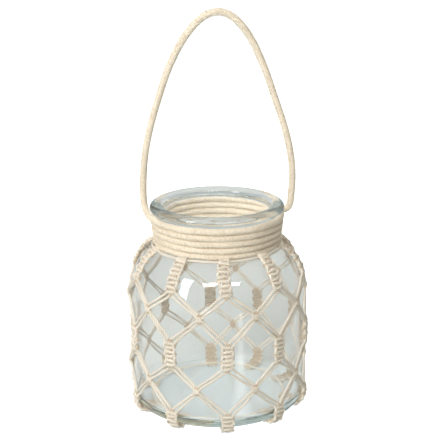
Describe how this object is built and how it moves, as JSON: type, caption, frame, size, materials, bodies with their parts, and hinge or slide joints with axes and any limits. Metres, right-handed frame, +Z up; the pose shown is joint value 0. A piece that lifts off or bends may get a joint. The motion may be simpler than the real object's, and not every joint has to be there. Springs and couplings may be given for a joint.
{
  "type": "hanging lantern",
  "caption": "Glass jar lantern with a rolled rim, a rope wound round its neck and raised into a swinging carrying loop, and a knotted cord net over the body.",
  "frame": {"origin": "centre of the plane the lantern stands on, under the middle of the jar", "axes": "+Z up along the jar's axis; +X sideways, in the plane of the carrying loop when it stands up; -Y towards the front"},
  "size_m": [0.1676, 0.1694, 0.3665],
  "materials": {
    "clear_glass": "clear pressed glass with a faint blue-grey tint, polished",
    "cotton_rope": "braided natural cotton rope, matt",
    "cotton_cord": "twisted natural cotton cord, matt"
  },
  "bodies": {
    "lantern": {"glass_jar": "clear_glass", "neck_winding": "cotton_rope", "left_lead": "cotton_rope", "right_lead": "cotton_rope", "foundation_cord": "cotton_cord", "base_ring_cord": "cotton_cord", "shoulder_sinnet_01": "cotton_cord", "upper_crossing_01": "cotton_cord", "side_sinnet_01": "cotton_cord", "lower_crossing_01": "cotton_cord", "base_sinnet_01": "cotton_cord", "shoulder_sinnet_02": "cotton_cord", "upper_crossing_02": "cotton_cord", "side_sinnet_02": "cotton_cord", "lower_crossing_02": "cotton_cord", "base_sinnet_02": "cotton_cord", "shoulder_sinnet_03": "cotton_cord", "upper_crossing_03": "cotton_cord", "side_sinnet_03": "cotton_cord", "lower_crossing_03": "cotton_cord", "base_sinnet_03": "cotton_cord", "shoulder_sinnet_04": "cotton_cord", "upper_crossing_04": "cotton_cord", "side_sinnet_04": "cotton_cord", "lower_crossing_04": "cotton_cord", "base_sinnet_04": "cotton_cord", "shoulder_sinnet_05": "cotton_cord", "upper_crossing_05": "cotton_cord", "side_sinnet_05": "cotton_cord", "lower_crossing_05": "cotton_cord", "base_sinnet_05": "cotton_cord", "shoulder_sinnet_06": "cotton_cord", "upper_crossing_06": "cotton_cord", "side_sinnet_06": "cotton_cord", "lower_crossing_06": "cotton_cord", "base_sinnet_06": "cotton_cord", "shoulder_sinnet_07": "cotton_cord", "upper_crossing_07": "cotton_cord", "side_sinnet_07": "cotton_cord", "lower_crossing_07": "cotton_cord", "base_sinnet_07": "cotton_cord", "shoulder_sinnet_08": "cotton_cord", "upper_crossing_08": "cotton_cord", "side_sinnet_08": "cotton_cord", "lower_crossing_08": "cotton_cord", "base_sinnet_08": "cotton_cord", "shoulder_sinnet_09": "cotton_cord", "upper_crossing_09": "cotton_cord", "side_sinnet_09": "cotton_cord", "lower_crossing_09": "cotton_cord", "base_sinnet_09": "cotton_cord", "shoulder_sinnet_10": "cotton_cord", "upper_crossing_10": "cotton_cord", "side_sinnet_10": "cotton_cord", "lower_crossing_10": "cotton_cord", "base_sinnet_10": "cotton_cord"},
    "carrying_loop": {"handle_rope": "cotton_rope"}
  },
  "joints": [
    {"name": "loop_swing", "type": "hinge", "parent": "lantern", "child": "carrying_loop", "pos_m": [0, 0, 0.187], "axis": [1, 0, 0], "range_deg": [-125, 125]}
  ]
}
